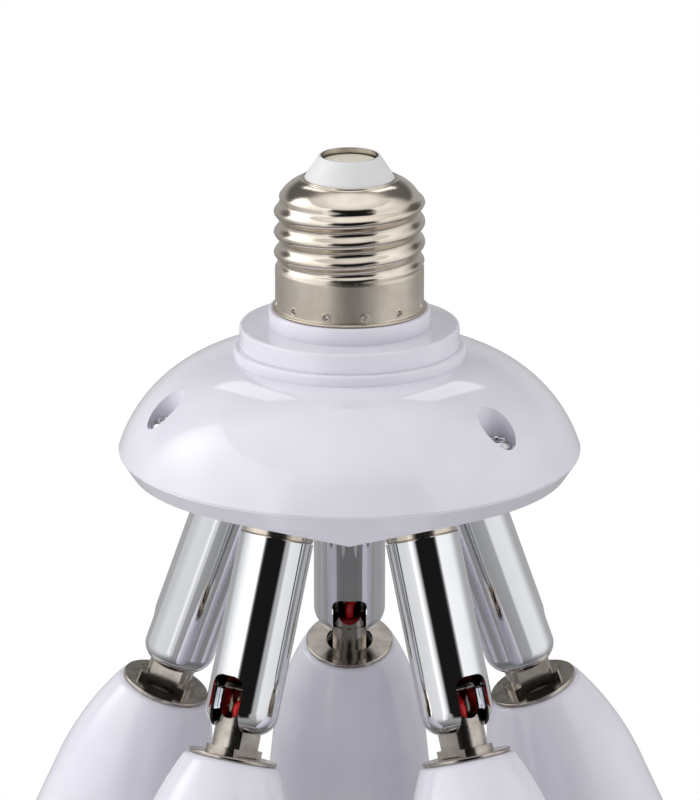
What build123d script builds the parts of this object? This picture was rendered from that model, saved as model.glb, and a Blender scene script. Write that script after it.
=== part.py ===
from build123d import *
import os
from math import cos, radians, sin, sqrt, tan

# Five-way lamp socket splitter, in millimetres, +Z up. The origin is on the cap's axis, where its plain
# skirt rises from the rim. Azimuths start at the front (-Y) and grow towards +X.

# Screw cap
thread_crest_r = 13.1
thread_root_r = 12.15
thread_pitch = 3.629
thread_ridges = 3
cap_sheet = 0.4
skirt_r = 12.9
skirt_h = 7.6
rim_r = 13.45
rim_h = 0.5
shoulder_h = 4.2
shoulder_bulge = 0.6
insulator_r = 7.85
insulator_tip_r = 5.25
insulator_cone_h = 4.1
contact_r = 5.0
contact_recess = 1.5
contact_sheet = 0.35
contact_stem_r = 1.6
contact_head_r = 2.6
contact_head_h = 0.6

# Hub covers
collar_r = 14.1
collar_h = 3.0
upper_step_r = 19.1
upper_step_h = 3.6
lower_step_r = 20.2
lower_step_h = 1.9
seam_r = 40.3
seam_z = -26.0
dome_arc_r = 24.7
cover_wall = 2.0
spigot_h = 6.5
spigot_wall = 1.4
band_h = 3.3
band_lean = 2.2
block_corner_r = 37.4
bottom_flat_z = -40.0
lip_h = 1.5
lip_wall = 1.5
step_round = 0.5
seam_round = 0.2
block_round = 0.6

# Cover screws
screw_inset = 6.9
screw_azimuths = [48.9, 168.9, 288.9]
pocket_r = 3.3
pocket_wall = 1.4
pocket_floor_z = -19.3
pocket_floor = 1.6
screw_r = 1.45
screw_head_r = 2.6
screw_head_h = 1.7
screw_length = 8.8
boss_wall = 1.15

# Arms
arm_azimuths = [-36, 36, 108, 180, 252]
slot_turns = [0, 0, 0, 180, 0]
arm_splay = 19.7
arm_face_r = 20.84
arm_face_z = -35.66
tube_r = 6.4
tube_wall = 1.0
tube_length = 34.3
tube_end_round = 4.0
tube_lip = 1.5
ring_h = 1.25
ring_inset = 0.1
ring_chamfer = 0.25
shank_r = 4.0
nipple_bore_r = 2.6
nipple_head_r = 5.0
nipple_head_h = 1.5
nipple_tail = 1.0
nut_across_flats = 11.0
nut_h = 3.0
slot_w = 6.3
slot_h = 9.7
slot_corner_r = 2.0
pivot_drop = 1.9
pin_r = 1.0
pin_skin = 0.4
lead_r = 0.8
lead_half_pitch = 0.95
lead_bend_r = 3.0

# Knuckles
neck_r = 4.1
neck_flats = 6.0
fork_r = 3.9
fork_flats = 5.2
fork_h = 6.4
notch_w = 4.1
notch_depth = 5.5
knuckle_bore_r = 2.3
foot_r = 5.2
foot_h = 1.3
washer_gap = 11.7
washer_r = 7.8
washer_t = 0.7
washer_round = 0.2
flare_r = 5.2
flare_h = 0.8

# Holders
holder_length = 60.0
holder_top_r = 8.2
holder_knee = 20.0
holder_taper = 5.0
holder_wall = 1.3
holder_top_wall = 2.0
socket_r = 13.6
socket_sheet = 0.35
socket_h = 22.0
socket_inset = 4.0
socket_hole_r = 7.0
socket_foot_r = 10.0
socket_shoulder_h = 4.0
base_h = 4.5
ledge_w = 1.8
ledge_h = 2.0
tongue_w = 5.0
tongue_t = 0.4
tongue_foot = 4.0
tongue_rise = 2.6
tongue_reach = 4.5
tongue_tip = 1.5

# Clearances
press_gap = 0.02
running_gap = 0.06
seat_gap = 0.1
end_gap = 0.12
loose_gap = 0.2

# Values worked out from the driving dimensions
thread_top_z = skirt_h + thread_ridges * thread_pitch
cone_z = thread_top_z + shoulder_h
tip_z = cone_z + insulator_cone_h
plug_r = thread_root_r - cap_sheet - 2 * loose_gap
plug_z = skirt_h + thread_pitch / 2
spigot_r = skirt_r - cap_sheet - seat_gap
throat_r = spigot_r - spigot_wall
upper_step_z = -rim_h - collar_h
lower_step_z = upper_step_z - upper_step_h
dome_z = lower_step_z - lower_step_h
band_r = seam_r - band_lean
band_z = seam_z - band_h
half_pitch = 180 / len(arm_azimuths)
block_apothem = block_corner_r * cos(radians(half_pitch))
screw_circle_r = seam_r - screw_inset
pocket_bottom_z = pocket_floor_z - pocket_floor
boss_r = screw_r + boss_wall

tube_top = ring_h + end_gap
tube_end = tube_top + tube_length
head_top = tube_top + tube_lip + end_gap
nipple_end = -cover_wall - nut_h - nipple_tail
slot_top = tube_end - slot_h
pivot = slot_top + pivot_drop
washer_top = pivot + washer_gap
holder_top = washer_top + washer_t
stub_hole_r = neck_r + seat_gap
pin_end = tube_r - pin_skin
lead_end = pivot + notch_depth - notch_w / 2 - lead_r
lead_back = pin_r + lead_r + loose_gap

socket_top = holder_length - socket_inset - socket_h
slope = tan(radians(holder_taper))
skin = holder_wall / cos(radians(holder_taper))
knee_r = socket_r + loose_gap + skin - (socket_top - holder_knee) * slope
base_top = socket_top - base_h
base_r = knee_r + (base_top - holder_knee) * slope - skin - loose_gap


def turned(*edges):
    """Solid of revolution about Z of a closed outline in the XZ plane."""
    return revolve(make_face(list(edges)), axis=Axis.Z)


def outline(*points):
    """Closed straight-sided outline in the XZ plane from (radius, height) pairs."""
    corners = [(r, 0, z) for r, z in points]
    return Polyline(*corners, close=True).edges()


def run(*points):
    """Open straight-sided run in the XZ plane from (radius, height) pairs."""
    return Polyline(*[(r, 0, z) for r, z in points]).edges()


def rod(radius, low, high, x=0.0, y=0.0):
    """Upright cylinder between two heights."""
    return Pos(x, y, low) * Cylinder(radius, high - low, align=(Align.CENTER, Align.CENTER, Align.MIN))


def cross_rod(radius, length, height):
    """Cylinder along X at a height on the Z axis."""
    return Pos(0, 0, height) * Rot(0, 90, 0) * Cylinder(radius, length)


def slab(width, depth, low, high):
    """Box centred on Z between two heights."""
    return Pos(0, 0, low) * Box(width, depth, high - low, align=(Align.CENTER, Align.CENTER, Align.MIN))


def ring_edges(body, radius, height):
    """Round edges of a body about Z with this radius at this height."""
    return [edge for edge in body.edges().filter_by(GeomType.CIRCLE)
            if abs(edge.radius - radius) < press_gap and abs(edge.center().Z - height) < press_gap]


def polar(radius, azimuth):
    """Plan point at an azimuth counted from the front towards +X."""
    return radius * sin(radians(azimuth)), -radius * cos(radians(azimuth))


def arm_place(azimuth, turn=0):
    """Frame of one arm: Z runs out along the arm, X along its pivot pin, Y out of its slot."""
    x, y = polar(1, azimuth)
    splay = radians(arm_splay)
    along = (x * sin(splay), y * sin(splay), -cos(splay))
    face = Plane(origin=(arm_face_r * x, arm_face_r * y, arm_face_z), x_dir=(-y, x, 0), z_dir=along)
    return face.location * Rot(0, 0, turn)


def dome_centre():
    """Centre of the dome's arc, through the foot of the steps and the edge of the seam."""
    half_r = (seam_r - lower_step_r) / 2
    half_z = (dome_z - seam_z) / 2
    half_chord = sqrt(half_r ** 2 + half_z ** 2)
    reach = sqrt(dome_arc_r ** 2 - half_chord ** 2) / half_chord
    return seam_r - half_r - reach * half_z, seam_z + half_z - reach * half_r


def dome_arc(inset, start_r, end_z):
    """Arc of the dome, moved inwards by inset, from a radius out to a height."""
    centre_r, centre_z = dome_centre()
    radius = dome_arc_r - inset
    start = (start_r, 0, centre_z + sqrt(radius ** 2 - (start_r - centre_r) ** 2))
    end = (centre_r + sqrt(radius ** 2 - (end_z - centre_z) ** 2), 0, end_z)
    middle = (centre_r + radius * sin(radians(45)), 0, centre_z + radius * cos(radians(45)))
    return start, end, ThreePointArc(start, middle, end)


def cap_profile(inset):
    """Outside of the cap's sheet, or its inside where inset is the sheet: ridges, then the shoulder."""
    mid_r = (thread_crest_r + thread_root_r) / 2 - inset
    swing = (thread_crest_r - thread_root_r) / 2
    quarter = thread_pitch / 4
    edges = []
    for ridge in range(thread_ridges):
        foot = skirt_h + ridge * thread_pitch
        for side, start in ((1, foot), (-1, foot + 2 * quarter)):
            low = (mid_r, 0, start)
            peak = (mid_r + side * swing, 0, start + quarter)
            edges.append(ThreePointArc(low, peak, (mid_r, 0, start + 2 * quarter)))
    top_r = insulator_r + seat_gap
    top_z = cone_z - inset
    middle = ((mid_r + top_r) / 2 + shoulder_bulge, 0, (thread_top_z + top_z) / 2 + shoulder_bulge)
    edges.append(ThreePointArc((mid_r, 0, thread_top_z), middle, (top_r, 0, top_z)))
    return edges


def cap_shell():
    mid_r = (thread_crest_r + thread_root_r) / 2
    inner_r = skirt_r - cap_sheet
    foot = run((mid_r, skirt_h), (skirt_r, skirt_h - cap_sheet), (skirt_r, 0), (rim_r, 0), (rim_r, -rim_h),
               (inner_r, -rim_h), (inner_r, skirt_h - cap_sheet), (mid_r - cap_sheet, skirt_h))
    top = run((insulator_r + seat_gap, cone_z), (insulator_r + seat_gap, cone_z - cap_sheet))
    return turned(*cap_profile(0), *cap_profile(cap_sheet), *foot, *top)


def cap_insulator():
    body = turned(*outline((0, plug_z), (plug_r, plug_z), (plug_r, thread_top_z - cap_sheet),
                           (insulator_r, cone_z - 2 * cap_sheet), (insulator_r, cone_z),
                           (insulator_tip_r, tip_z), (0, tip_z)))
    recess = rod(contact_r + press_gap, tip_z - contact_recess, tip_z)
    return body - recess - rod(contact_stem_r + press_gap, plug_z, tip_z)


def cap_contact():
    floor = tip_z - contact_recess
    cup = rod(contact_r, floor, tip_z - contact_sheet) - rod(contact_r - contact_sheet, floor + contact_sheet, tip_z)
    stem = rod(contact_stem_r, plug_z - contact_head_h, floor)
    return cup + stem + rod(contact_head_r, plug_z - contact_head_h, plug_z)


def dome_solid():
    """Full outside of the upper cover below the spigot."""
    start, end, arc = dome_arc(0, lower_step_r, seam_z)
    steps = run((end[0], seam_z), (0, seam_z), (0, -rim_h), (collar_r, -rim_h), (collar_r, upper_step_z),
                (upper_step_r, upper_step_z), (upper_step_r, lower_step_z), (lower_step_r, lower_step_z),
                (lower_step_r, start[2]))
    body = turned(arc, *steps)
    for radius, height in ((collar_r, -rim_h), (upper_step_r, upper_step_z), (lower_step_r, lower_step_z)):
        body = fillet(ring_edges(body, radius, height), step_round)
    return chamfer(ring_edges(body, end[0], seam_z), seam_round)


def dome_hollow(wall):
    """Space inside the upper cover, one wall in from the steps and the dome."""
    start, end, arc = dome_arc(wall, upper_step_r - wall, seam_z)
    rest = run((end[0], seam_z), (0, seam_z), (0, spigot_h), (throat_r, spigot_h), (throat_r, upper_step_z - wall),
               (upper_step_r - wall, upper_step_z - wall), (upper_step_r - wall, start[2]))
    return turned(arc, *rest)


def screw_places():
    return [polar(screw_circle_r, azimuth) for azimuth in screw_azimuths]


def upper_cover():
    dome = dome_solid()
    body = dome + rod(spigot_r, -rim_h, spigot_h) - dome_hollow(cover_wall)
    for x, y in screw_places():
        post = rod(pocket_r + pocket_wall, pocket_bottom_z, 0, x, y) & dome
        pocket = rod(pocket_r, pocket_floor_z, 0, x, y)
        body = body + post - pocket - rod(screw_r + loose_gap, pocket_bottom_z, 0, x, y)
    return body


def block(apothem, top, bottom, inset):
    """Five-sided block under the dish: upright sides and one sloping face square to each arm."""
    sides = RegularPolygon(apothem, len(arm_azimuths), major_radius=False, rotation=half_pitch - 90)
    body = Pos(0, 0, bottom) * extrude(sides, top - bottom)
    reach = 4 * seam_r
    for azimuth in arm_azimuths:
        beyond = Pos(0, 0, -inset) * Box(reach, reach, reach, align=(Align.CENTER, Align.CENTER, Align.MIN))
        body -= arm_place(azimuth) * beyond
    return body


def lower_cover():
    dish = turned(*outline((0, seam_z), (seam_r, seam_z), (band_r, band_z), (0, band_z)))
    dish = chamfer(ring_edges(dish, seam_r, seam_z), seam_round)
    foot = block(block_apothem, band_z, bottom_flat_z, 0)
    outside = dish + fillet(foot.edges() - foot.edges().group_by(Axis.Z)[-1], block_round)
    floor = band_z + cover_wall
    start, end, arc = dome_arc(cover_wall, upper_step_r - cover_wall, seam_z + lip_h)
    lip_r = end[0] - loose_gap
    well_r = lip_r - lip_wall
    well = turned(*outline((0, seam_z), (well_r, seam_z), (well_r, floor), (0, floor)))
    pit = block(block_apothem - cover_wall, floor, bottom_flat_z + cover_wall, cover_wall)
    body = outside - well - pit + (rod(lip_r, seam_z, seam_z + lip_h) - rod(well_r, seam_z, seam_z + lip_h))
    for x, y in screw_places():
        low = rod(boss_r, bottom_flat_z, seam_z, x, y) & outside
        body = body + low + (rod(boss_r, seam_z, pocket_bottom_z, x, y) & dome_hollow(cover_wall + loose_gap))
        body -= rod(screw_r + press_gap, pocket_floor_z - screw_length - loose_gap, pocket_bottom_z, x, y)
    for azimuth in arm_azimuths:
        body -= arm_place(azimuth) * rod(shank_r + seat_gap, -3 * cover_wall, cover_wall)
    return body


def cover_screws():
    screws = []
    for x, y in screw_places():
        head = rod(screw_head_r, pocket_floor_z, pocket_floor_z + screw_head_h, x, y)
        head = fillet(head.edges().group_by(Axis.Z)[-1], screw_head_h / 2)
        screws.append(head + rod(screw_r, pocket_floor_z - screw_length, pocket_floor_z, x, y))
    return Compound(children=screws)


def arm_nipple():
    body = rod(shank_r, nipple_end, head_top) + rod(nipple_head_r, head_top, head_top + nipple_head_h)
    return body - rod(nipple_bore_r, nipple_end, head_top + nipple_head_h)


def arm_ring():
    ring = rod(tube_r - ring_inset, 0, ring_h) - rod(shank_r + seat_gap, 0, ring_h)
    return chamfer(ring.edges().group_by(Axis.Z)[-1].sort_by(SortBy.RADIUS)[-1], ring_chamfer)


def nipple_nut():
    hexagon = extrude(RegularPolygon(nut_across_flats / 2, 6, major_radius=False), nut_h)
    return Pos(0, 0, -cover_wall - nut_h) * hexagon - rod(shank_r + press_gap, -cover_wall - nut_h, -cover_wall)


def on_every_arm(piece):
    return Compound(children=[arm_place(azimuth) * piece for azimuth in arm_azimuths])


def lead_pair(low, high, y):
    return [rod(lead_r, low, high, side * lead_half_pitch, y) for side in (-1, 1)]


def hub_leads():
    """Leads from each nipple, spread to an even ring below the cap and led straight up to its insulator."""
    ring_r = (throat_r + contact_head_r) / 2
    leads = []
    for azimuth in arm_azimuths:
        for side in (-1, 1):
            low, bend = [(arm_place(azimuth) * Pos(side * lead_half_pitch, 0, z)).position
                         for z in (head_top + nipple_head_h, nipple_end - lead_bend_r)]
            x, y = polar(ring_r, azimuth + side * half_pitch / 2)
            path = FilletPolyline(low, bend, (x, y, upper_step_z), (x, y, plug_z), radius=lead_bend_r)
            leads.append(sweep(Plane(origin=low, z_dir=bend - low) * Circle(lead_r), path))
    return Compound(children=leads)


def arm_tube():
    flat_r = tube_r - tube_end_round
    bend = tube_end - tube_end_round
    shell_r = tube_r - tube_wall
    half = sqrt(0.5)
    outer_arc = ThreePointArc((tube_r, 0, bend), (flat_r + half * tube_end_round, 0, bend + half * tube_end_round),
                              (flat_r, 0, tube_end))
    body = turned(outer_arc, *run((flat_r, tube_end), (0, tube_end), (0, tube_top), (tube_r, tube_top),
                                  (tube_r, bend)))
    inner_round = tube_end_round - tube_wall
    inner_arc = ThreePointArc((shell_r, 0, bend), (flat_r + half * inner_round, 0, bend + half * inner_round),
                              (flat_r, 0, tube_end - tube_wall))
    ceiling = tube_top + tube_lip
    body -= turned(inner_arc, *run((flat_r, tube_end - tube_wall), (0, tube_end - tube_wall), (0, ceiling),
                                   (shell_r, ceiling), (shell_r, bend)))
    body -= rod(shank_r + running_gap, tube_top, ceiling)
    body -= rod(neck_r + loose_gap, bend, tube_end)
    slot = Pos(0, tube_r, 0) * slab(slot_w, 2 * tube_r, slot_top, tube_end + slot_h)
    slot = fillet(slot.edges().filter_by(Axis.Y).group_by(Axis.Z)[0], slot_corner_r)
    return body - slot - cross_rod(pin_r + press_gap, 2 * (pin_end + press_gap), pivot)


def pivot_pin():
    return cross_rod(pin_r, 2 * pin_end, pivot)


def arm_leads():
    return Compound(children=lead_pair(head_top + nipple_head_h + end_gap, lead_end, -lead_back))


def knuckle():
    """Stub with two flats: a narrower round-topped fork, the neck, its foot and the flare inside the holder."""
    bottom = holder_top + holder_top_wall + flare_h
    step = pivot + fork_h
    top = pivot - fork_r
    crown = rod(fork_r, top, pivot) & cross_rod(fork_r, 2 * fork_r, pivot)
    fork = (rod(fork_r, pivot, step) + crown) & slab(fork_flats, 2 * fork_r, top, step)
    foot = rod(foot_r, washer_top - foot_h, washer_top)
    stem = rod(neck_r, step, bottom) + foot + rod(flare_r, bottom - flare_h, bottom)
    stem &= slab(neck_flats, 2 * (neck_r + foot_r), step, bottom)
    notch_arc = pivot + notch_depth - notch_w / 2
    notch = slab(notch_w, 4 * fork_r, top - fork_r, notch_arc)
    notch += Pos(0, 0, notch_arc) * Rot(90, 0, 0) * Cylinder(notch_w / 2, 4 * fork_r)
    pin_hole = cross_rod(pin_r + running_gap, 2 * neck_flats, pivot)
    return fork + stem - notch - rod(knuckle_bore_r, pivot, bottom) - pin_hole


def knuckle_washer():
    disc = rod(washer_r, washer_top, holder_top)
    return fillet(disc.edges().filter_by(GeomType.CIRCLE), washer_round) - rod(stub_hole_r, washer_top, holder_top)


def holder_outline(inset, top):
    """Bell from a depth below its top to its mouth: an arc that runs into a straight taper."""
    lean = radians(holder_taper)
    drop = (holder_top_r - knee_r, -holder_knee)
    radius = -(drop[0] ** 2 + drop[1] ** 2) / (2 * (drop[0] * cos(lean) - drop[1] * sin(lean)))
    centre_r = knee_r - radius * cos(lean)
    centre_z = holder_knee + radius * sin(lean)
    bend = radius - inset

    def on_arc(depth):
        return centre_r + sqrt(bend ** 2 - (depth - centre_z) ** 2), 0, holder_top + depth

    knee_depth = holder_knee + inset * sin(lean)
    mouth_r = knee_r + (holder_length - holder_knee) * slope - inset / cos(lean)
    arc = ThreePointArc(on_arc(top), on_arc((top + knee_depth) / 2), on_arc(knee_depth))
    start = on_arc(top)
    rest = run((on_arc(knee_depth)[0], holder_top + knee_depth), (mouth_r, holder_top + holder_length),
               (0, holder_top + holder_length), (0, start[2]), (start[0], start[2]))
    return turned(arc, *rest)


def holder_shell():
    bell = holder_outline(0, 0)
    hollow = holder_outline(holder_wall, holder_top_wall)
    seat = holder_top + base_top
    ledge = (rod(socket_r, seat - ledge_h, seat) - rod(base_r - ledge_w, seat - ledge_h, seat)) & hollow
    return bell - hollow + ledge - rod(stub_hole_r, holder_top, holder_top + holder_top_wall)


def socket_base():
    return rod(base_r, holder_top + base_top, holder_top + socket_top)


def screw_shell():
    """Metal cup: a flat foot on the base, a sloping shoulder and the plain wall that the thread is rolled into."""
    top = holder_top + socket_top
    bend = top + socket_shoulder_h
    end = top + socket_h
    inner_r = socket_r - socket_sheet
    return turned(*outline((socket_hole_r, top), (socket_foot_r, top), (socket_r, bend), (socket_r, end),
                           (inner_r, end), (inner_r, bend), (socket_foot_r - socket_sheet, top + socket_sheet),
                           (socket_hole_r, top + socket_sheet)))


def centre_contact():
    """Brass tongue: a foot on the base, a rise across the axis and a tip bent back."""
    low = holder_top + socket_top
    path = [(-tongue_foot - tongue_tip, low), (-tongue_tip, low), (tongue_reach - tongue_tip, low + tongue_rise),
            (tongue_reach, low + tongue_rise - tongue_tip / 2)]
    far = [(y, z + tongue_t) for y, z in reversed(path)]
    side = make_face(Polyline(*[(0, y, z) for y, z in path + far], close=True).edges())
    return Pos(-tongue_w / 2, 0, 0) * extrude(side, tongue_w, dir=(1, 0, 0))


def holder_leads():
    start = pivot + notch_depth + loose_gap
    return Compound(children=lead_pair(start, holder_top + base_top, 0))


hub_pieces = {
    "cap_shell": cap_shell(),
    "cap_insulator": cap_insulator(),
    "cap_contact": cap_contact(),
    "upper_cover": upper_cover(),
    "lower_cover": lower_cover(),
    "cover_screws": cover_screws(),
    "arm_nipples": on_every_arm(arm_nipple()),
    "arm_rings": on_every_arm(arm_ring()),
    "nipple_nuts": on_every_arm(nipple_nut()),
    "hub_leads": hub_leads(),
}

arm_pieces = {
    "arm_tube": arm_tube(),
    "pivot_pin": pivot_pin(),
    "arm_leads": arm_leads(),
    "knuckle": knuckle(),
    "knuckle_washer": knuckle_washer(),
    "holder_shell": holder_shell(),
    "socket_base": socket_base(),
    "screw_shell": screw_shell(),
    "centre_contact": centre_contact(),
    "holder_leads": holder_leads(),
}

os.makedirs("parts", exist_ok=True)
for name, piece in hub_pieces.items():
    export_step(piece, f"parts/{name}.step")
for number, (azimuth, turn) in enumerate(zip(arm_azimuths, slot_turns), start=1):
    place = arm_place(azimuth, turn)
    for name, piece in arm_pieces.items():
        export_step(place * piece, f"parts/{name}_{number}.step")
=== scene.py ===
"""Five-way lamp socket splitter: a screw cap on a white hub, five chrome arms and five bell-shaped lamp holders."""

import bmesh
import bpy
import numpy as np
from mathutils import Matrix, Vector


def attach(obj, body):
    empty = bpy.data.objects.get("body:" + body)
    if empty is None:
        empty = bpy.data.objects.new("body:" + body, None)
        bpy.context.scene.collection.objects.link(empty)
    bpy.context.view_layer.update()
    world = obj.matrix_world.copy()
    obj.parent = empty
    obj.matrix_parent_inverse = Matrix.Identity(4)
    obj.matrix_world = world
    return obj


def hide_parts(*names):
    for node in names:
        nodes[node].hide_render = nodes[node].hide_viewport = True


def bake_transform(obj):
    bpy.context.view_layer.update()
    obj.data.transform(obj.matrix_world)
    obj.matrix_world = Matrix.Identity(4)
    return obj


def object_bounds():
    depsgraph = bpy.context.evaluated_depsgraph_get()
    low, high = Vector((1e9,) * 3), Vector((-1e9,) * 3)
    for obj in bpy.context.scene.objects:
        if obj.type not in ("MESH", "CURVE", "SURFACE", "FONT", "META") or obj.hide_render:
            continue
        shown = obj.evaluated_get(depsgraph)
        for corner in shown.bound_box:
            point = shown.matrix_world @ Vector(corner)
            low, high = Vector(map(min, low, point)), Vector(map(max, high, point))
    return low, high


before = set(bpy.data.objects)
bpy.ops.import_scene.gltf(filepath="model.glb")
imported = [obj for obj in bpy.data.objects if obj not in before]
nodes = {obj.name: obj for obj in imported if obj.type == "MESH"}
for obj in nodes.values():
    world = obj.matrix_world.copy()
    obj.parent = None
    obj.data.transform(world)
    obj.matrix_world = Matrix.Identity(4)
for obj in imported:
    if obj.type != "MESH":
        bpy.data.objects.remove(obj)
cad_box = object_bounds()
scene = bpy.context.scene


# Screw cap. Thin steel sheet drawn to a cup, with the round lamp thread rolled into it, then nickel plated.
# A row of punch marks stakes its skirt to the plastic spigot inside, and its lower edge is rolled outwards.
# Sizes are in millimetres and degrees, here and up to the studio; the skirt rises from the rim at height 0.

pitch, crest_height = 3.629, 0.475
skirt_r, skirt_top = 12.9, 6.6
rim_width, rim_half = 0.55, 0.25
thread_r, thread_bottom, thread_top = 12.625, 6.8, 18.4
first_crest = 13.15 + pitch / 4
lip_r, lip_height, lip_bead = 8.0, 22.72, 0.2
sheet = [0.35, 0.2]
mark_height, first_mark, mark_step = 1.05, 11.6, 30


def srgb(code):
    """Linear RGBA of an sRGB hex colour, by the sRGB transfer curve."""
    values = np.array([int(code[i:i + 2], 16) for i in (1, 3, 5)]) / 255
    curve = np.where(values <= 0.04045, values / 12.92, ((values + 0.055) / 1.055) ** 2.4)
    return (*curve.tolist(), 1.0)


def add_node(tree, kind, inputs, stops=None, **settings):
    """One shader node. Inputs are socket values, or what the socket is linked from: another socket, or a node,
    which gives its first output. Stops are the places and colours of a ramp, settings the node's own properties."""
    node = tree.nodes.new("ShaderNode" + kind)
    for name, value in settings.items():
        setattr(node, name, value)
    for name, value in inputs.items():
        if isinstance(value, bpy.types.Node):
            value = value.outputs[0]
        if isinstance(value, bpy.types.NodeSocket):
            tree.links.new(value, node.inputs[name])
        else:
            node.inputs[name].default_value = value
    if stops:
        ramp = node.color_ramp.elements
        for place in list(stops)[1:-1]:
            ramp.new(place)
        for element, (place, colour) in zip(ramp, stops.items()):
            element.position, element.color = place, colour
    return node


def start_material(name):
    """Empty material and its node tree, with the object coordinates, which are metres in the part's frame."""
    material = bpy.data.materials.new(name)
    material.use_nodes = True
    tree = material.node_tree
    tree.nodes.clear()
    return material, tree, add_node(tree, "TexCoord", {}).outputs["Object"]


def spin(profile, columns):
    """Grid of points: each (radius, height) of the profile is carried round Z, from the front (-Y) towards +X."""
    angle = np.linspace(0, 2 * np.pi, columns, endpoint=False)
    radius = profile[:, :1]
    height = np.broadcast_to(profile[:, 1:], (len(profile), columns))
    return np.stack([radius * np.sin(angle), -radius * np.cos(angle), height], axis=-1)


def surface(name, points, material):
    """Closed smooth piece from a grid of points in millimetres: every cell of four neighbours is a face, rows and
    columns both run round to their start, points that fall together are merged, and faces are turned outwards."""
    rows, columns = points.shape[:2]
    index = np.arange(rows * columns).reshape(rows, columns)
    after = np.roll(index, -1, axis=0)
    faces = np.stack([index, np.roll(index, -1, axis=1), np.roll(after, -1, axis=1), after], axis=-1).reshape(-1, 4)
    mesh = bpy.data.meshes.new(name)
    mesh.vertices.add(rows * columns)
    mesh.vertices.foreach_set("co", (points * 0.001).astype(np.float32).ravel())
    mesh.loops.add(faces.size)
    mesh.loops.foreach_set("vertex_index", faces.astype(np.int32).ravel())
    mesh.polygons.add(len(faces))
    mesh.polygons.foreach_set("loop_start", np.arange(0, faces.size, 4, dtype=np.int32))
    mesh.update(calc_edges=True)
    work = bmesh.new()
    work.from_mesh(mesh)
    bmesh.ops.remove_doubles(work, verts=work.verts, dist=1e-7)
    bmesh.ops.recalc_face_normals(work, faces=work.faces)
    work.to_mesh(mesh)
    work.free()
    mesh.shade_smooth()
    mesh.materials.append(material)
    piece = bpy.data.objects.new(name, mesh)
    scene.collection.objects.link(piece)
    return piece


def mount(name, points, material, slot, body, *replaced):
    """Surface that moves with one body and stands in for these CAD nodes."""
    piece = surface(name, points, material)
    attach(piece, body)
    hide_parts(*replaced)


# Nickel over drawn steel: bright and slightly warm, with fine upright lines left by the drawing die and a faint
# cloudiness 5 mm wide. The lines are drawn 0.3 mm apart, coarser than life, so that they show. The skirt is satin.
# Above it the rolling of the thread has burnished the plate, and the rim and all pieces further down are bright.
nickel, tree, where = start_material("nickel_plate")
stretched = add_node(tree, "Mapping", {"Vector": where, "Scale": (1.0, 1.0, 0.02)})
lines = add_node(tree, "TexNoise", {"Vector": stretched, "Scale": 1000 / 0.3, "Detail": 3.0})
cloud = add_node(tree, "TexNoise", {"Vector": where, "Scale": 1000 / 5.0, "Detail": 2.0})
tint = add_node(tree, "ValToRGB", {"Fac": cloud}, {0.3: srgb("#CDC2B4"), 0.7: srgb("#DDD4C8")})
height = add_node(tree, "SeparateXYZ", {"Vector": where}).outputs["Z"]
satin = add_node(tree, "MapRange", {"Value": height, "From Min": 0.0066, "From Max": 0.0078,
                                    "To Min": 0.36, "To Max": 0.13})
bright = add_node(tree, "MapRange", {"Value": height, "From Min": -0.0008, "From Max": -0.0006,
                                     "To Min": -0.2, "To Max": 0.0})
drawn = add_node(tree, "MapRange", {"Value": lines, "From Min": 0.3, "From Max": 0.7,
                                    "To Min": -0.03, "To Max": 0.03})
rough = add_node(tree, "Math", {0: satin, 1: bright}, operation="ADD")
rough = add_node(tree, "Math", {0: rough, 1: drawn}, operation="ADD")
bump = add_node(tree, "Bump", {"Height": lines, "Strength": 0.05, "Distance": 0.0001})
shader = add_node(tree, "BsdfPrincipled", {"Base Color": tint, "Metallic": 1.0, "Roughness": rough, "Normal": bump})
add_node(tree, "OutputMaterial", {"Surface": shader})


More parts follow.
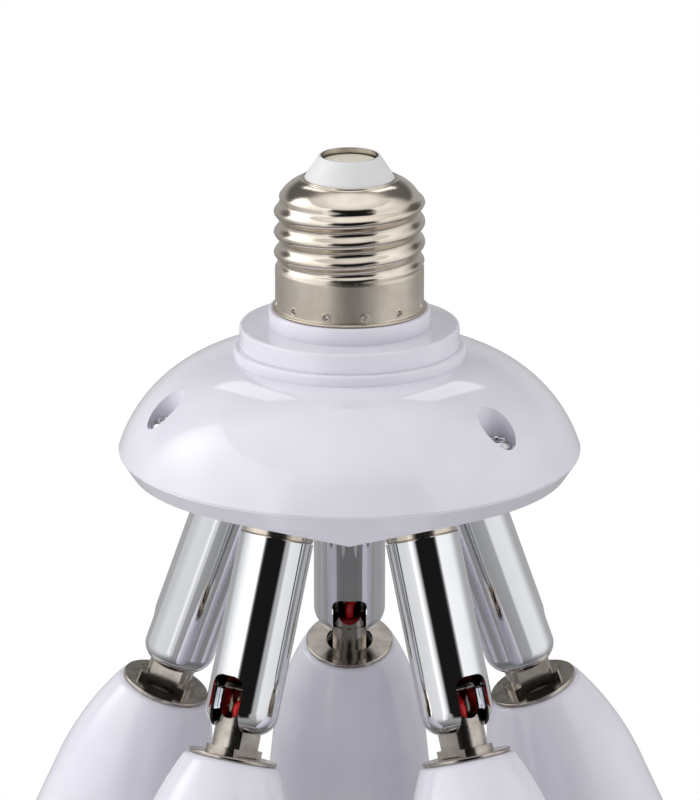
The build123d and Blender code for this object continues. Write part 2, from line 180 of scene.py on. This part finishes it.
def cap_points():
    """Outside and inside of the cap. The profile is the rolled rim, the skirt, the thread, the shoulder and a bead
    round the insulator. The thread adds crest_height cos(2 pi (z - crest(azimuth)) / pitch) to the radius, where the
    crest rises by one pitch a turn. Every punch mark takes a bell-shaped pit 1 mm deep out of the skirt and leaves
    a ridge 0.13 mm high round it, 0.6 mm from its middle."""
    roll = np.radians(np.linspace(-90, 90, 11))
    rim = np.stack([skirt_r + rim_width * np.cos(roll), rim_half * (np.sin(roll) - 1)], axis=1)
    skirt_z = np.concatenate([np.linspace(0.05, 1.9, 32), np.linspace(2.2, skirt_top, 6)])
    skirt = np.stack([skirt_r + 0.12 * np.clip(1 - skirt_z / 0.3, 0, 1) ** 2, skirt_z], axis=1)
    thread_z = np.linspace(thread_bottom, thread_top, 66)
    neck = (skirt_r - thread_r) * np.clip(thread_bottom + 1 - thread_z, 0, 1) ** 2
    thread = np.stack([thread_r + neck, thread_z], axis=1)
    share = np.linspace(0, 1, 22)[1:, None]
    start, middle, end = np.array([thread_r, thread_top]), np.array([11.6, 21.7]), np.array([7.95, 22.69])
    shoulder = (1 - share) ** 2 * start + 2 * share * (1 - share) * middle + share ** 2 * end
    curl = np.radians(np.linspace(-40, 150, 7))
    lip = np.stack([lip_r + lip_bead * np.cos(curl), lip_height + lip_bead * np.sin(curl)], axis=1)
    outside = np.concatenate([rim, skirt, thread, shoulder[:-2], lip])
    inside = np.concatenate([outside[::-6] - sheet, [[12.5, -0.45]]])
    profile = np.concatenate([outside, inside])
    columns = 540
    points = spin(profile, columns)
    azimuth = np.linspace(0, 360, columns, endpoint=False)
    radius, height = profile[:, :1], profile[:, 1:]
    phase = 2 * np.pi * ((height - first_crest) / pitch - azimuth / 360)
    fade = np.clip((height - 7.1) / 1.2, 0, 1) * np.clip((20.2 - height) / 1.6, 0, 1)
    change = crest_height * np.cos(phase) * fade * fade * (3 - 2 * fade)
    around = np.radians((azimuth - first_mark + mark_step / 2) % mark_step - mark_step / 2) * skirt_r
    reach = np.hypot(around, height - mark_height)
    mark = 0.13 * np.exp(-((reach - 0.6) / 0.15) ** 2) - 1.0 * np.exp(-(reach / 0.36) ** 2)
    change += np.where(height < 3, mark, 0)
    points[..., :2] *= ((radius + change) / radius)[..., None]
    return points


mount("screw_cap", cap_points(), nickel, "nickel", "hub", "cap_shell")


# Cap insulator and centre contact. A moulded white cone closes the cap, and a nickel-plated eyelet sits in its
# tip, with its rim flush and its floor a little below. Each profile is given by its corners (radius, height) and
# by how far before and after each corner the rounding starts.

def rounded(corners, cut, steps=5):
    """Closed profile with every corner rounded: a quadratic curve from a point `cut` before the corner to one as far
    after it, with the corner as control point. Neighbours never overlap, as cut is held below half of each side."""
    corners = np.array(corners, float)
    cut = np.broadcast_to(cut, len(corners))[:, None]
    before = np.roll(corners, 1, axis=0) - corners
    after = np.roll(corners, -1, axis=0) - corners
    long_before = np.linalg.norm(before, axis=1, keepdims=True)
    long_after = np.linalg.norm(after, axis=1, keepdims=True)
    first = (corners + before / long_before * np.minimum(cut, long_before * 0.45))[:, None]
    last = (corners + after / long_after * np.minimum(cut, long_after * 0.45))[:, None]
    share = np.linspace(0, 1, steps)[None, :, None]
    curve = (1 - share) ** 2 * first + 2 * share * (1 - share) * corners[:, None] + share ** 2 * last
    return curve.reshape(-1, 2)


# Moulded thermoset: matt, faintly uneven, with a grain of about 0.4 mm.
moulded, tree, where = start_material("moulded_insulator")
grain = add_node(tree, "TexNoise", {"Vector": where, "Scale": 1000 / 0.4, "Detail": 3.0})
cloud = add_node(tree, "TexNoise", {"Vector": where, "Scale": 1000 / 4.0})
tint = add_node(tree, "ValToRGB", {"Fac": cloud}, {0.0: srgb("#DEDEE0"), 1.0: srgb("#E9E9EB")})
bump = add_node(tree, "Bump", {"Height": grain, "Strength": 0.06, "Distance": 0.0001})
shader = add_node(tree, "BsdfPrincipled", {"Base Color": tint, "Roughness": 0.42, "IOR": 1.55, "Normal": bump})
add_node(tree, "OutputMaterial", {"Surface": shader})

plug = rounded([(0, 9.5), (11.2, 9.5), (11.2, 18.0), (7.85, 21.9), (7.85, 22.8), (5.25, 26.79), (5.02, 26.79),
                (5.02, 25.3), (0, 25.3)], [0, 0.3, 0.3, 0.2, 0.35, 0.2, 0.08, 0.1, 0])
mount("cap_cone", spin(plug, 96), moulded, "cap_insulator", "hub", "cap_insulator")

# Nickel over brass, tumbled: grey and satin, with a sparkle of grains 0.3 mm wide, drawn coarser than life to show.
satin_nickel, tree, where = start_material("satin_nickel")
grain = add_node(tree, "TexNoise", {"Vector": where, "Scale": 1000 / 0.3, "Detail": 3.0})
cloud = add_node(tree, "TexNoise", {"Vector": where, "Scale": 1000 / 3.0, "Detail": 2.0})
tint = add_node(tree, "ValToRGB", {"Fac": cloud}, {0.3: srgb("#A8A098"), 0.7: srgb("#C8C1B8")})
rough = add_node(tree, "MapRange", {"Value": grain, "From Min": 0.3, "From Max": 0.7,
                                    "To Min": 0.13, "To Max": 0.22})
bump = add_node(tree, "Bump", {"Height": grain, "Strength": 0.02, "Distance": 0.0001})
shader = add_node(tree, "BsdfPrincipled", {"Base Color": tint, "Metallic": 1.0, "Roughness": rough, "Normal": bump})
add_node(tree, "OutputMaterial", {"Surface": shader})

# The sleeve of the eyelet has a fine slit at the back, where its strip was rolled up.
sleeve_columns, slit_half = 240, 1.2
sleeve = rounded([(4.99, 25.32), (4.99, 26.76), (4.86, 26.76), (4.86, 25.32)], [0, 0.05, 0.05, 0])
sleeve = spin(sleeve, sleeve_columns)
slit = np.abs(np.linspace(0, 360, sleeve_columns, endpoint=False) - 180)[None, :] < slit_half
sleeve[..., :2] *= np.where(slit, 1.02, 1.0)[..., None]
mount("cap_sleeve", sleeve, satin_nickel, "contact_nickel", "hub", "cap_contact")

# Tinned contact plate: pale cream, dull, with turning rings 0.25 mm apart.
tinned, tree, where = start_material("tinned_plate")
rings = add_node(tree, "TexWave", {"Vector": where, "Scale": 1000 / 0.25 / 20, "Distortion": 0.6},
                 wave_type="RINGS", rings_direction="Z").outputs["Fac"]
tint = add_node(tree, "ValToRGB", {"Fac": rings}, {0.0: srgb("#F2EBDC"), 1.0: srgb("#FAF5EA")})
bump = add_node(tree, "Bump", {"Height": rings, "Strength": 0.08, "Distance": 0.00005})
shader = add_node(tree, "BsdfPrincipled", {"Base Color": tint, "Metallic": 0.6, "Roughness": 0.6, "Normal": bump})
add_node(tree, "OutputMaterial", {"Surface": shader})

plate = rounded([(0, 25.32), (4.84, 25.32), (4.84, 25.7), (0, 25.78)], [0, 0.1, 0.15, 0])
mount("cap_plate", spin(plate, 96), tinned, "contact_nickel", "hub", "cap_contact")


# Hub covers. Two glossy white mouldings: a stepped dome above and a shallow dish with a five-sided block below,
# joined at a fine seam by three screws in deep pockets.

# Injection-moulded ABS, white with a cool lavender cast: glossy, with the long shallow waves of a polished mould,
# about 9 mm from crest to crest, and a trace of fine texture 0.5 mm wide.
abs_white, tree, where = start_material("abs_white")
waves = add_node(tree, "TexNoise", {"Vector": where, "Scale": 1000 / 9.0, "Detail": 1.0})
grain = add_node(tree, "TexNoise", {"Vector": where, "Scale": 1000 / 0.5, "Detail": 2.0})
tint = add_node(tree, "ValToRGB", {"Fac": waves}, {0.3: srgb("#E3E1EC"), 0.7: srgb("#E8E6F0")})
rough = add_node(tree, "MapRange", {"Value": grain, "From Min": 0.3, "From Max": 0.7,
                                    "To Min": 0.03, "To Max": 0.055})
bump = add_node(tree, "Bump", {"Height": waves, "Strength": 0.03, "Distance": 0.0002})
shader = add_node(tree, "BsdfPrincipled", {"Base Color": tint, "IOR": 1.54, "Roughness": rough, "Normal": bump})
add_node(tree, "OutputMaterial", {"Surface": shader})


def coat(names, material):
    """CAD pieces whose shape is right keep their mesh and get this finish."""
    for name in names:
        nodes[name].data.materials.clear()
        nodes[name].data.materials.append(material)


coat(["upper_cover", "lower_cover"], abs_white)


# Cover screws. Pan-head screws with a cross recess, zinc plated, at the bottom of the pockets.
# They stand on a circle round the cap's axis, and heights of a screw count from under its head.

screw_circle, screw_seat, screw_azimuths = 33.4, -19.3, [48.9, 168.9, 288.9]
head_top, shank_r, shank_end = 1.7, 1.2, -8.0

# Zinc on steel: grey and half bright, mottled 0.8 mm wide.
zinc, tree, where = start_material("zinc_plate")
cloud = add_node(tree, "TexNoise", {"Vector": where, "Scale": 1000 / 0.8, "Detail": 3.0})
tint = add_node(tree, "ValToRGB", {"Fac": cloud}, {0.0: srgb("#A9ABB0"), 1.0: srgb("#D3D5D9")})
shader = add_node(tree, "BsdfPrincipled", {"Base Color": tint, "Metallic": 1.0, "Roughness": 0.24})
add_node(tree, "OutputMaterial", {"Surface": shader})


def screw_points():
    """Head and shank by one profile carried round Z. The head's top sinks into a cross 1 mm deep: two grooves
    0.84 mm wide that fade out 1.5 mm from the axis. The shank has a V thread 0.25 mm high and of 1 mm pitch, which
    rises with the angle."""
    columns, rings = 72, 72
    head = rounded([(0, head_top), (1.8, 1.65), (2.6, 0.8), (2.6, 0), (1.45, 0)], [0, 0.5, 0.5, 0.15, 0.1])
    core = np.linspace(0.1, 1, 14)[:, None] * [1.75, 0] + [0, head_top]
    shank = np.stack([np.full(rings, shank_r), np.linspace(-0.2, shank_end + 0.1, rings)], axis=1)
    profile = np.concatenate([[[0, head_top]], core, head[6:], shank, [[0.4, -8.7], [0, -8.8]]])
    points = spin(profile, columns)
    x, y, z = points[..., 0], points[..., 1], points[..., 2]
    groove = np.clip((0.42 - np.minimum(np.abs(x), np.abs(y))) / 0.16, 0, 1)
    fade = np.clip((1.5 - np.hypot(x, y)) / 0.35, 0, 1)
    z -= np.where(z > 1.5, 1.0 * groove * fade, 0)
    turns = np.linspace(0, 1, columns, endpoint=False)
    ridge = 0.25 * np.abs(((z - turns) % 1) * 2 - 1)
    scale = np.where((z < -0.2) & (z > shank_end), (shank_r + ridge) / shank_r, 1)
    return np.stack([x * scale, y * scale, z], axis=-1)


for number, azimuth in enumerate(np.radians(screw_azimuths), start=1):
    place = [screw_circle * np.sin(azimuth), -screw_circle * np.cos(azimuth), screw_seat]
    mount(f"cover_screw_{number}", screw_points() + place, zinc, "screw_steel", "hub", "cover_screws")


# Arms. Each arm is a chrome-plated tube with a round end, turning on a hollow bolt whose nut is inside the hub. A
# thin nickel ring spaces it from the hub, and a slot in its lower end lets the knuckle swing out.

arm_numbers = range(1, 6)

coat(["arm_nipples", "arm_rings", "nipple_nuts"], nickel)

# Mirror chrome on steel: nearly colourless, sharp, with smears a few millimetres long that dull it a trace.
chrome, tree, where = start_material("mirror_chrome")
smear = add_node(tree, "TexNoise", {"Vector": where, "Scale": 1000 / 6.0, "Detail": 4.0})
tint = add_node(tree, "ValToRGB", {"Fac": smear}, {0.0: srgb("#E6E8EC"), 1.0: srgb("#F1F2F4")})
rough = add_node(tree, "MapRange", {"Value": smear, "From Min": 0.4, "From Max": 0.75,
                                    "To Min": 0.03, "To Max": 0.07})
shader = add_node(tree, "BsdfPrincipled", {"Base Color": tint, "Metallic": 1.0, "Roughness": rough})
add_node(tree, "OutputMaterial", {"Surface": shader})

coat([f"{piece}_{n}" for piece in ("arm_tube", "pivot_pin") for n in arm_numbers], chrome)


# Knuckles and washers. A turned stub with two flats, forked at the top round the pivot pin, and a plain washer
# on the holder below it. Both are nickel plated.

coat([f"{piece}_{n}" for piece in ("knuckle", "knuckle_washer") for n in arm_numbers], satin_nickel)


# Leads. Stranded wire in red insulation, two to an arm, from the hub through the tube and the knuckle to the holder.
# Behind the pivot pin they hang side by side. Below it they come forward, one before the other, into the knuckle's
# bore.

lead_r, lead_apart, bend_span = 0.8, 0.95, (26.4, 33.4)
arm_azimuths, turned_arm = [-36, 36, 108, 180, 252], 4
arm_splay, arm_face_r, arm_face_drop = 19.7, 20.84, 35.66

# Extruded PVC: a deep, slightly waxy red, clouded 1.5 mm wide.
red_pvc, tree, where = start_material("red_pvc")
cloud = add_node(tree, "TexNoise", {"Vector": where, "Scale": 1000 / 1.5, "Detail": 2.0})
tint = add_node(tree, "ValToRGB", {"Fac": cloud}, {0.0: srgb("#B80A10"), 1.0: srgb("#D61A1E")})
shader = add_node(tree, "BsdfPrincipled", {"Base Color": tint, "Roughness": 0.35, "IOR": 1.53})
add_node(tree, "OutputMaterial", {"Surface": shader})

coat(["hub_leads"], red_pvc)


def arm_place(points, number):
    """Points of one arm's own frame in the part's frame: Z runs out along the arm from its face on the hub, X along
    the pivot pin and Y out of the slot. One arm is turned half round, which reverses its X and Y."""
    azimuth, splay = np.radians([arm_azimuths[number - 1], arm_splay])
    out = np.array([np.sin(azimuth), -np.cos(azimuth), 0])
    across = np.array([np.cos(azimuth), np.sin(azimuth), 0])
    along = out * np.sin(splay) - [0, 0, np.cos(splay)]
    slot = np.cross(along, across)
    side = -1 if number == turned_arm else 1
    face = arm_face_r * out - [0, 0, arm_face_drop]
    return face + points[..., :1] * across * side + points[..., 1:2] * slot * side + points[..., 2:] * along


def lead_points(phase):
    """One lead. With s the smooth step 3t^2 - 2t^3 held to 0..1, the middle of the pair runs at
    y = -2 + 2.5 s((z - 28.6) / 3) - 0.5 s((z - 31.9) / 3). Both leads keep lead_apart from it, and below the pin
    they twist by the angle pi/2 s((z - 29.2) / 2), so that one comes to lie before the other. Each ring of points
    stands square to its lead."""
    z = np.concatenate([np.linspace(4.61, 27.5, 20), np.linspace(28.0, 36.0, 64), np.linspace(37.0, 69.77, 16)])

    def step(share):
        share = np.clip(share, 0, 1)
        return share * share * (3 - 2 * share)

    twist = phase + np.pi / 2 * step((z - 29.2) / 2)
    middle = -2 + 2.5 * step((z - 28.6) / 3) - 0.5 * step((z - 31.9) / 3)
    path = np.stack([lead_apart * np.cos(twist), middle + lead_apart * np.sin(twist), z], axis=1)
    along = np.gradient(path, z, axis=0)
    along /= np.linalg.norm(along, axis=1, keepdims=True)
    wide = np.cross([0, 1, 0], along)
    wide /= np.linalg.norm(wide, axis=1, keepdims=True)
    deep = np.cross(along, wide)
    path, wide, deep = [np.pad(v, ((1, 1), (0, 0)), mode="edge")[:, None] for v in (path, wide, deep)]
    angle = np.linspace(0, 2 * np.pi, 16, endpoint=False)[None, :, None]
    radius = np.pad(np.full(len(z), lead_r), 1)[:, None, None]
    return path + radius * (np.cos(angle) * wide + np.sin(angle) * deep)


for number in arm_numbers:
    for side, phase in (("left", np.pi), ("right", 0)):
        lead = surface(f"lead_{number}_{side}", arm_place(lead_points(phase), number), red_pvc)
        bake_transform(lead)
        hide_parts(f"arm_leads_{number}", f"holder_leads_{number}")


# Lamp holders. A bell of the same white ABS hides an insulating base with a spring contact and a threaded metal
# shell that takes the lamp's cap. Depths count from the bell's top, holder_top along the arm.

holder_top, holder_length, holder_wall = 40.27, 60, 1.3
shoulder_r, knee_r, knee_depth, taper = 8.2, 13.88, 20, 5
shell_r, shell_length, shell_depth, shell_crest = 13.55, 22.0, 34.0, 0.38


def bell_profile():
    """Closed wall of the bell: an arc that starts on the shoulder and runs tangent into a straight taper at the
    knee, and the same curve one wall further in. With w and h the knee's distance outwards and down from the
    shoulder, and a the taper, the arc's radius is (w^2 + h^2) / (2 (w cos a - h sin a)). The mouth's edge is
    rounded."""
    lean = np.radians(taper)
    wide = knee_r - shoulder_r
    arc = (wide ** 2 + knee_depth ** 2) / (2 * (wide * np.cos(lean) - knee_depth * np.sin(lean)))
    centre_r, centre_z = knee_r - arc * np.cos(lean), knee_depth + arc * np.sin(lean)
    depth = np.linspace(0.5, knee_depth, 40)
    outer = np.stack([centre_r + np.sqrt(arc ** 2 - (depth - centre_z) ** 2), depth], axis=1)
    depth = np.linspace(knee_depth, 2, 24)
    inner = np.stack([centre_r + np.sqrt((arc - holder_wall) ** 2 - (depth - centre_z) ** 2), depth], axis=1)
    mouth_r = knee_r + (holder_length - knee_depth) * np.tan(lean)
    top = [[4.2, 0], [7.4, 0], [7.85, 0.1], [8.15, 0.28]]
    edge = np.array([[-0.09, -1], [-0.05, -0.5], [-0.2, -0.12], [-0.65, 0], [-1.1, -0.12], [-1.25, -0.5],
                     [-1.4, -1.2]])
    profile = np.concatenate([top, outer, edge + [mouth_r, holder_length], inner, [[4.2, 2.0]]])
    return profile + [0, holder_top]


for number in arm_numbers:
    mount(f"lamp_holder_{number}", arm_place(spin(bell_profile(), 128), number), abs_white, "white_plastic",
          f"holder_{number}", f"holder_shell_{number}")


def shell_points():
    """Threaded shell of a holder: a foot, a sloping shoulder and a wall whose round thread adds
    shell_crest (cos(phase) - 1) to the radius, so that its crests reach inwards. They rise by one pitch a turn."""
    columns, rings = 120, 70
    wall = np.stack([np.full(rings, shell_r), np.linspace(4.0, shell_length, rings)], axis=1)
    outside = np.concatenate([[[7.0, 0.02], [9.6, 0.02], [10.1, 0.15]], wall])
    inside = outside[::-1] + [-0.3, 0.3]
    inside[0] = [13.2, shell_length]
    profile = np.concatenate([outside, inside])
    points = spin(profile, columns)
    radius, height = profile[:, :1], profile[:, 1:]
    angle = np.linspace(0, 2 * np.pi, columns, endpoint=False)
    fade = np.clip((height - 4.2) / 1.6, 0, 1)
    change = shell_crest * (np.cos(2 * np.pi * height / pitch + angle) - 1) * fade
    points[..., :2] *= ((radius + change) / radius)[..., None]
    points[..., 2] += holder_top + shell_depth
    return points


for number in arm_numbers:
    mount(f"threaded_shell_{number}", arm_place(shell_points(), number), nickel, "nickel", f"holder_{number}",
          f"screw_shell_{number}")

coat([f"socket_base_{n}" for n in arm_numbers], moulded)

# Brass strip, rolled and bare: yellow and half bright, clouded 1.2 mm wide.
brass, tree, where = start_material("brass_strip")
cloud = add_node(tree, "TexNoise", {"Vector": where, "Scale": 1000 / 1.2, "Detail": 3.0})
tint = add_node(tree, "ValToRGB", {"Fac": cloud}, {0.0: srgb("#B99A55"), 1.0: srgb("#D8BC78")})
shader = add_node(tree, "BsdfPrincipled", {"Base Color": tint, "Metallic": 1.0, "Roughness": 0.28})
add_node(tree, "OutputMaterial", {"Surface": shader})

coat([f"centre_contact_{n}" for n in arm_numbers], brass)


# Studio, in metres. The splitter hangs in a white room, far above a white floor; the camera sees both as white.
# Light comes from all round: a bright panel on the left with a hot spot, a weaker one on the right, two small ones
# behind, and between the large ones a dark gap in front, which draws the black bands on the chrome.

floor_z, floor_reach = cad_box[0][2] - 4, 90

# White card: an even white, seen by the camera alone, so that it lights nothing and shows in no reflection.
floor_material, tree, where = start_material("white_floor")
glow = add_node(tree, "Emission", {"Color": srgb("#FFFFFF"), "Strength": 1.0})
add_node(tree, "OutputMaterial", {"Surface": glow})
floor_corners = [(-floor_reach, -floor_reach, floor_z), (floor_reach, -floor_reach, floor_z),
                 (floor_reach, floor_reach, floor_z), (-floor_reach, floor_reach, floor_z)]
floor_mesh = bpy.data.meshes.new("floor")
floor_mesh.from_pydata(floor_corners, [], [(0, 1, 2, 3)])
floor_mesh.materials.append(floor_material)
floor = bpy.data.objects.new("floor", floor_mesh)
floor.visible_diffuse = floor.visible_glossy = floor.visible_transmission = floor.visible_shadow = False
scene.collection.objects.link(floor)

world = bpy.data.worlds.new("studio")
scene.world = world
world.use_nodes = True
tree = world.node_tree
tree.nodes.clear()

# A ray's azimuth, from the front towards +X, and its rise above level, both in degrees.
ray = add_node(tree, "TexCoord", {}).outputs["Generated"]
ray = add_node(tree, "Mapping", {"Vector": ray, "Scale": (1.0, -1.0, 1.0)})
ray = add_node(tree, "SeparateXYZ", {"Vector": ray}).outputs
azimuth = add_node(tree, "Math", {0: ray["X"], 1: ray["Y"]}, operation="ARCTAN2")
azimuth = add_node(tree, "Math", {0: azimuth}, operation="DEGREES")
rise = add_node(tree, "Math", {0: ray["Z"]}, operation="ARCSINE")
rise = add_node(tree, "Math", {0: rise}, operation="DEGREES")
off_front = add_node(tree, "Math", {0: azimuth}, operation="ABSOLUTE")


def fading(*fades):
    """Product of fades over all rays, such as the brightness of a panel. A fade is the smooth step 3t^2 - 2t^3 from
    a low to a high level, while an angle of the ray goes from start to end: (angle, start, end, low, high)."""
    product = 1.0
    for angle, start, end, low, high in fades:
        fade = add_node(tree, "MapRange", {"Value": angle, "From Min": start, "From Max": end,
                                           "To Min": low, "To Max": high}, interpolation_type="SMOOTHSTEP")
        product = add_node(tree, "Math", {0: product, 1: fade}, operation="MULTIPLY")
    return product


# The room's own level at each rise. It is dimmer at the back, low over the horizon.
room_levels = {-90: 0.24, -70: 0.2, -56: 0.14, -38: 0.27, -20: 0.38, 0: 0.46, 25: 0.53, 42: 0.65, 56: 0.95, 70: 1.2,
               90: 1.2}
room_stops = {(angle + 90) / 180: (level, level, level, 1.0) for angle, level in room_levels.items()}
share = add_node(tree, "MapRange", {"Value": rise, "From Min": -90.0, "From Max": 90.0})
room = add_node(tree, "ValToRGB", {"Fac": share}, room_stops)
back = fading((off_front, 112, 128, 0, 1), (rise, 8, 22, 0, 1), (rise, 48, 66, 1, 0))
back = add_node(tree, "Math", {0: back, 1: -0.75, 2: 1.0}, operation="MULTIPLY_ADD")

# The large panels share their lower and upper edges. The left one's hot spot is a bell curve 11 degrees wide.
edges = [(rise, -42, -16, 0, 1), (rise, 47.4, 48.6, 1, 0)]
hot_azimuth, hot_rise, hot_width, hot_level = -105, 33, 11, 2.8
aim = add_node(tree, "CombineXYZ", {"X": azimuth, "Y": rise})
hot = add_node(tree, "VectorMath", {0: aim, 1: (hot_azimuth, hot_rise, 0)}, operation="DISTANCE").outputs["Value"]
hot = add_node(tree, "Math", {0: hot, 1: 2.0}, operation="POWER")
hot = add_node(tree, "Math", {0: hot, 1: -2 * hot_width ** 2}, operation="DIVIDE")
hot = add_node(tree, "Math", {0: hot}, operation="EXPONENT")
left = fading((rise, -5, 20, 0.42, 0.9), (azimuth, -105, -75, 0.4, 0.85))
left = add_node(tree, "Math", {0: hot, 1: hot_level, 2: left}, operation="MULTIPLY_ADD")
left_window = fading((azimuth, -123, -117, 0, 1), (azimuth, -37, -31, 1, 0), *edges)
left = add_node(tree, "Math", {0: left_window, 1: left}, operation="MULTIPLY")
right = fading((azimuth, 40, 48, 0, 1), (azimuth, 88, 125, 1, 0), *edges, (rise, -10, 20, 0.42, 0.55))
rear = fading((off_front, 154.5, 156.5, 0, 1.6), (off_front, 166.5, 168.5, 1, 0),
              (rise, 31.5, 33.5, 0, 1), (rise, 50.5, 52.5, 1, 0))

# The dark gap widens upwards, and a faint strip of light stands at its left edge.
gap_middle, gap_depth = 4.0, 0.98
gap_half = fading((rise, -8, 22, 20, 42))
aside = add_node(tree, "Math", {0: azimuth, 1: gap_middle}, operation="SUBTRACT")
aside = add_node(tree, "Math", {0: aside}, operation="ABSOLUTE")
aside = add_node(tree, "Math", {0: aside, 1: gap_half}, operation="SUBTRACT")
gap = fading((aside, -10, 3, 1, 0), (rise, -26, -8, 0, 1), (rise, 38, 52, 1, 0))
gap = add_node(tree, "Math", {0: gap, 1: -gap_depth, 2: 1.0}, operation="MULTIPLY_ADD")
strip = fading((azimuth, -47, -41, 0, 0.35), (azimuth, -30, -24, 1, 0),
               (rise, -28, -20, 0, 1), (rise, 4, 12, 1, 0))

level = add_node(tree, "Math", {0: room, 1: back, 2: left}, operation="MULTIPLY_ADD")
level = add_node(tree, "Math", {0: level, 1: right}, operation="ADD")
level = add_node(tree, "Math", {0: level, 1: rear}, operation="ADD")
level = add_node(tree, "Math", {0: level, 1: gap, 2: strip}, operation="MULTIPLY_ADD")
seen = add_node(tree, "LightPath", {}).outputs["Is Camera Ray"]
unseen = add_node(tree, "Math", {0: 1.0, 1: seen}, operation="SUBTRACT")
level = add_node(tree, "Math", {0: level, 1: unseen, 2: seen}, operation="MULTIPLY_ADD")
sky = add_node(tree, "Background", {"Color": srgb("#FFFFFF"), "Strength": level})
add_node(tree, "OutputWorld", {"Surface": sky})

# Three broad fills from the sides and from below lift the plastic: azimuth, rise and watts of each. They are aimed
# at the foot of the hub and kept out of mirror reflections.
fills = {"fill_left": (-60, -8, 11.6), "fill_right": (60, -8, 7.2), "fill_front": (0, -14, 3.9)}
fill_far, fill_size, fill_aim_z = 2, 1.2, -0.04
for name, (fill_azimuth, fill_rise, watts) in fills.items():
    turn, lift = np.radians([fill_azimuth, fill_rise])
    lamp = bpy.data.lights.new(name, "AREA")
    lamp.size = fill_size
    lamp.energy = watts
    fill = bpy.data.objects.new(name, lamp)
    fill.location = (fill_far * np.sin(turn) * np.cos(lift), -fill_far * np.cos(turn) * np.cos(lift),
                     fill_far * np.sin(lift) + fill_aim_z)
    fill.rotation_euler = (np.pi / 2 - lift, 0, turn)
    fill.visible_glossy = False
    scene.collection.objects.link(fill)

# Camera. Far off with a long lens, 17 degrees above level, as the photograph's lines show.
camera_far, camera_rise, camera_aim_z = 1.247, np.radians(16.98), -0.01736
view = bpy.data.cameras.new("camera")
view.lens = 322.6
view.sensor_width = 36.0
view.clip_end = 200.0
view.shift_x = 0.5 / 800
camera = bpy.data.objects.new("camera", view)
camera.location = (0, -camera_far * np.cos(camera_rise), camera_far * np.sin(camera_rise) + camera_aim_z)
camera.rotation_euler = (np.pi / 2 - camera_rise, 0, 0)
scene.collection.objects.link(camera)
scene.camera = camera
scene.view_settings.view_transform = "Standard"
